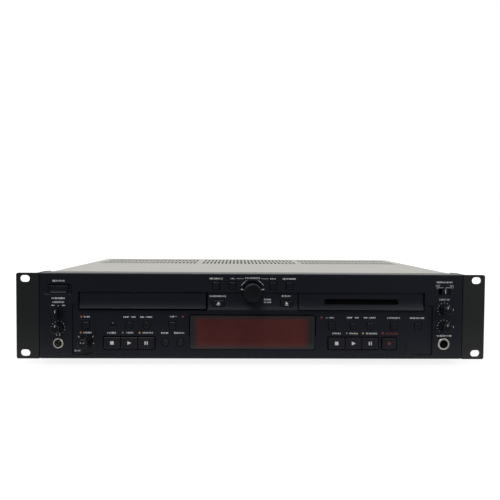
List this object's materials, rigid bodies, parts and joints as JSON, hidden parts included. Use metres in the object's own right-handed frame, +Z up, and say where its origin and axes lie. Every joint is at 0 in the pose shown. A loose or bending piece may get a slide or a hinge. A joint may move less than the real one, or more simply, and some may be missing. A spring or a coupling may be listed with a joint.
{
  "type": "minidisc and disc combination deck",
  "caption": "Rack-mount disc and minidisc deck with a sliding disc tray, a minidisc slot, transport keys, a jog dial and a display window.",
  "frame": {"origin": "centre of the overall footprint, at the soles of the feet", "axes": "+X to the right seen from the front, +Y to the back, +Z up"},
  "size_m": [0.4826, 0.309, 0.095],
  "materials": {
    "panel_black": "satin moulded panel, near black",
    "cover_paint": "satin baked paint",
    "ear_paint": "fine textured black paint",
    "base_zinc": "bright zinc plate",
    "rubber_black": "moulded rubber",
    "screw_black": "black plated steel",
    "window_smoke": "smoked acrylic",
    "board_green": "solder masked board",
    "socket_black": "moulded nylon",
    "jack_chrome": "nickel plate",
    "lamp_clear": "clear lens",
    "mechanism_grey": "moulded engineering plastic",
    "button_black": "fine textured cap",
    "gear_white": "acetal",
    "steel_bright": "turned steel"
  },
  "bodies": {
    "case": {"base_chassis": "base_zinc", "rear_panel": "ear_paint", "top_cover": "cover_paint", "front_panel": "panel_black", "rack_ears": "ear_paint", "feet": "rubber_black", "case_screws": "screw_black", "display_window": "window_smoke", "front_board": "board_green", "main_board": "board_green", "power_supply": "board_green", "mains_inlet": "socket_black", "rear_jacks": "socket_black", "phones_jack": "jack_chrome", "keyboard_socket": "jack_chrome", "indicator_lamps": "lamp_clear", "cd_loader_frame": "mechanism_grey", "md_loader_frame": "base_zinc"},
    "disc_tray": {"cd_tray": "mechanism_grey", "cd_tray_door": "panel_black"},
    "tray_gear": {"cd_tray_gear": "gear_white"},
    "disc_spindle": {"cd_spindle": "mechanism_grey"},
    "disc_pickup": {"cd_pickup": "mechanism_grey"},
    "slot_flap": {"md_slot_flap": "button_black"},
    "minidisc_spindle": {"md_spindle": "steel_bright"},
    "minidisc_pickup": {"md_pickup": "mechanism_grey"},
    "key_button": {"key_button": "button_black"},
    "cd_select_button": {"cd_select_button": "button_black"},
    "md_select_button": {"md_select_button": "button_black"},
    "dubbing_button": {"dubbing_button": "button_black"},
    "input_select_button": {"input_select_button": "button_black"},
    "cd_menu_button": {"cd_menu_button": "button_black"},
    "menu_no_button": {"menu_no_button": "button_black"},
    "menu_yes_button": {"menu_yes_button": "button_black"},
    "md_menu_button": {"md_menu_button": "button_black"},
    "cd_back_button": {"cd_back_button": "button_black"},
    "cd_forward_button": {"cd_forward_button": "button_black"},
    "time_button": {"time_button": "button_black"},
    "display_button": {"display_button": "button_black"},
    "md_back_button": {"md_back_button": "button_black"},
    "md_forward_button": {"md_forward_button": "button_black"},
    "open_close_button": {"open_close_button": "button_black"},
    "eject_button": {"eject_button": "button_black"},
    "cd_stop_key": {"cd_stop_key": "button_black"},
    "cd_play_key": {"cd_play_key": "button_black"},
    "cd_ready_key": {"cd_ready_key": "button_black"},
    "md_stop_key": {"md_stop_key": "button_black"},
    "md_play_key": {"md_play_key": "button_black"},
    "md_ready_key": {"md_ready_key": "button_black"},
    "md_record_key": {"md_record_key": "button_black"},
    "power_button": {"power_button": "button_black"},
    "phones_level_knob": {"phones_level_knob": "button_black"},
    "input_left_knob": {"input_left_knob": "button_black"},
    "input_right_knob": {"input_right_knob": "button_black"},
    "phones_selector": {"phones_selector": "button_black"},
    "pitch_shaft": {"pitch_shaft": "steel_bright"},
    "pitch_knob": {"pitch_knob": "button_black"},
    "jog_shaft": {"jog_shaft": "steel_bright"},
    "jog_dial": {"jog_dial": "button_black"},
    "continuous_play_slider": {"continuous_play_slider": "button_black"}
  },
  "joints": [
    {"name": "key_button_press", "type": "slide", "parent": "case", "child": "key_button", "axis": [0, 1, 0], "range_m": [0, 0.001], "stiffness_N_per_m": 200, "springref_m": -0.002},
    {"name": "cd_select_button_press", "type": "slide", "parent": "case", "child": "cd_select_button", "axis": [0, 1, 0], "range_m": [0, 0.001], "stiffness_N_per_m": 200, "springref_m": -0.002},
    {"name": "md_select_button_press", "type": "slide", "parent": "case", "child": "md_select_button", "axis": [0, 1, 0], "range_m": [0, 0.001], "stiffness_N_per_m": 200, "springref_m": -0.002},
    {"name": "dubbing_button_press", "type": "slide", "parent": "case", "child": "dubbing_button", "axis": [0, 1, 0], "range_m": [0, 0.001], "stiffness_N_per_m": 200, "springref_m": -0.002},
    {"name": "input_select_button_press", "type": "slide", "parent": "case", "child": "input_select_button", "axis": [0, 1, 0], "range_m": [0, 0.001], "stiffness_N_per_m": 200, "springref_m": -0.002},
    {"name": "cd_menu_button_press", "type": "slide", "parent": "case", "child": "cd_menu_button", "axis": [0, 1, 0], "range_m": [0, 0.001], "stiffness_N_per_m": 200, "springref_m": -0.002},
    {"name": "menu_no_button_press", "type": "slide", "parent": "case", "child": "menu_no_button", "axis": [0, 1, 0], "range_m": [0, 0.001], "stiffness_N_per_m": 200, "springref_m": -0.002},
    {"name": "menu_yes_button_press", "type": "slide", "parent": "case", "child": "menu_yes_button", "axis": [0, 1, 0], "range_m": [0, 0.001], "stiffness_N_per_m": 200, "springref_m": -0.002},
    {"name": "md_menu_button_press", "type": "slide", "parent": "case", "child": "md_menu_button", "axis": [0, 1, 0], "range_m": [0, 0.001], "stiffness_N_per_m": 200, "springref_m": -0.002},
    {"name": "cd_back_button_press", "type": "slide", "parent": "case", "child": "cd_back_button", "axis": [0, 1, 0], "range_m": [0, 0.001], "stiffness_N_per_m": 200, "springref_m": -0.002},
    {"name": "cd_forward_button_press", "type": "slide", "parent": "case", "child": "cd_forward_button", "axis": [0, 1, 0], "range_m": [0, 0.001], "stiffness_N_per_m": 200, "springref_m": -0.002},
    {"name": "time_button_press", "type": "slide", "parent": "case", "child": "time_button", "axis": [0, 1, 0], "range_m": [0, 0.001], "stiffness_N_per_m": 200, "springref_m": -0.002},
    {"name": "display_button_press", "type": "slide", "parent": "case", "child": "display_button", "axis": [0, 1, 0], "range_m": [0, 0.001], "stiffness_N_per_m": 200, "springref_m": -0.002},
    {"name": "md_back_button_press", "type": "slide", "parent": "case", "child": "md_back_button", "axis": [0, 1, 0], "range_m": [0, 0.001], "stiffness_N_per_m": 200, "springref_m": -0.002},
    {"name": "md_forward_button_press", "type": "slide", "parent": "case", "child": "md_forward_button", "axis": [0, 1, 0], "range_m": [0, 0.001], "stiffness_N_per_m": 200, "springref_m": -0.002},
    {"name": "open_close_button_press", "type": "slide", "parent": "case", "child": "open_close_button", "axis": [0, 1, 0], "range_m": [0, 0.001], "stiffness_N_per_m": 200, "springref_m": -0.002},
    {"name": "eject_button_press", "type": "slide", "parent": "case", "child": "eject_button", "axis": [0, 1, 0], "range_m": [0, 0.001], "stiffness_N_per_m": 200, "springref_m": -0.002},
    {"name": "cd_stop_key_press", "type": "slide", "parent": "case", "child": "cd_stop_key", "axis": [0, 1, 0], "range_m": [0, 0.001], "stiffness_N_per_m": 200, "springref_m": -0.002},
    {"name": "cd_play_key_press", "type": "slide", "parent": "case", "child": "cd_play_key", "axis": [0, 1, 0], "range_m": [0, 0.001], "stiffness_N_per_m": 200, "springref_m": -0.002},
    {"name": "cd_ready_key_press", "type": "slide", "parent": "case", "child": "cd_ready_key", "axis": [0, 1, 0], "range_m": [0, 0.001], "stiffness_N_per_m": 200, "springref_m": -0.002},
    {"name": "md_stop_key_press", "type": "slide", "parent": "case", "child": "md_stop_key", "axis": [0, 1, 0], "range_m": [0, 0.001], "stiffness_N_per_m": 200, "springref_m": -0.002},
    {"name": "md_play_key_press", "type": "slide", "parent": "case", "child": "md_play_key", "axis": [0, 1, 0], "range_m": [0, 0.001], "stiffness_N_per_m": 200, "springref_m": -0.002},
    {"name": "md_ready_key_press", "type": "slide", "parent": "case", "child": "md_ready_key", "axis": [0, 1, 0], "range_m": [0, 0.001], "stiffness_N_per_m": 200, "springref_m": -0.002},
    {"name": "md_record_key_press", "type": "slide", "parent": "case", "child": "md_record_key", "axis": [0, 1, 0], "range_m": [0, 0.001], "stiffness_N_per_m": 200, "springref_m": -0.002},
    {"name": "power_button_press", "type": "slide", "parent": "case", "child": "power_button", "axis": [0, 1, 0], "range_m": [0, 0.003], "stiffness_N_per_m": 200, "springref_m": -0.002},
    {"name": "phones_level_knob_turn", "type": "hinge", "parent": "case", "child": "phones_level_knob", "pos_m": [-0.199, -0.1405, 0.0389], "axis": [0, 1, 0], "range_deg": [-145, 145]},
    {"name": "input_left_knob_turn", "type": "hinge", "parent": "case", "child": "input_left_knob", "pos_m": [0.199, -0.1405, 0.059], "axis": [0, 1, 0], "range_deg": [-145, 145]},
    {"name": "input_right_knob_turn", "type": "hinge", "parent": "case", "child": "input_right_knob", "pos_m": [0.199, -0.1405, 0.041], "axis": [0, 1, 0], "range_deg": [-145, 145]},
    {"name": "phones_selector_turn", "type": "hinge", "parent": "case", "child": "phones_selector", "pos_m": [-0.199, -0.1405, 0.054], "axis": [0, 1, 0], "range_deg": [-35, 35]},
    {"name": "pitch_push", "type": "slide", "parent": "case", "child": "pitch_shaft", "axis": [0, 1, 0], "range_m": [0, 0.001], "stiffness_N_per_m": 300, "springref_m": -0.002},
    {"name": "pitch_turn", "type": "hinge", "parent": "pitch_shaft", "child": "pitch_knob", "pos_m": [-0.1714, -0.1405, 0.0239], "axis": [0, 1, 0], "continuous": true},
    {"name": "jog_push", "type": "slide", "parent": "case", "child": "jog_shaft", "axis": [0, 1, 0], "range_m": [0, 0.001], "stiffness_N_per_m": 300, "springref_m": -0.002},
    {"name": "jog_turn", "type": "hinge", "parent": "jog_shaft", "child": "jog_dial", "pos_m": [-0.0004, -0.1405, 0.0767], "axis": [0, 1, 0], "continuous": true},
    {"name": "continuous_play_slide", "type": "slide", "parent": "case", "child": "continuous_play_slider", "axis": [1, 0, 0], "range_m": [-0.0032, 0]},
    {"name": "tray_slide", "type": "slide", "parent": "case", "child": "disc_tray", "axis": [0, -1, 0], "range_m": [0, 0.138]},
    {"name": "tray_gear_spin", "type": "hinge", "parent": "case", "child": "tray_gear", "pos_m": [-0.1601, -0.0965, 0.057], "axis": [0, 0, 1], "range_deg": [-900, 900]},
    {"name": "disc_spin", "type": "hinge", "parent": "case", "child": "disc_spindle", "pos_m": [-0.1131, -0.0626, 0.065], "axis": [0, 0, 1], "continuous": true},
    {"name": "disc_pickup_slide", "type": "slide", "parent": "case", "child": "disc_pickup", "axis": [0, 1, 0], "range_m": [0, 0.034]},
    {"name": "slot_flap_swing", "type": "hinge", "parent": "case", "child": "slot_flap", "pos_m": [0.1131, -0.1342, 0.0699], "axis": [1, 0, 0], "range_deg": [0, 80], "stiffness_Nm_per_rad": 0.002, "springref_deg": -17.19},
    {"name": "minidisc_spin", "type": "hinge", "parent": "case", "child": "minidisc_spindle", "pos_m": [0.1131, -0.0685, 0.061], "axis": [0, 0, 1], "continuous": true},
    {"name": "minidisc_pickup_slide", "type": "slide", "parent": "case", "child": "minidisc_pickup", "axis": [0, 1, 0], "range_m": [0, 0.02]}
  ],
  "couplings": [
    {"joint": "tray_gear_spin", "follows": "tray_slide", "rad_per_m": 111.11}
  ]
}
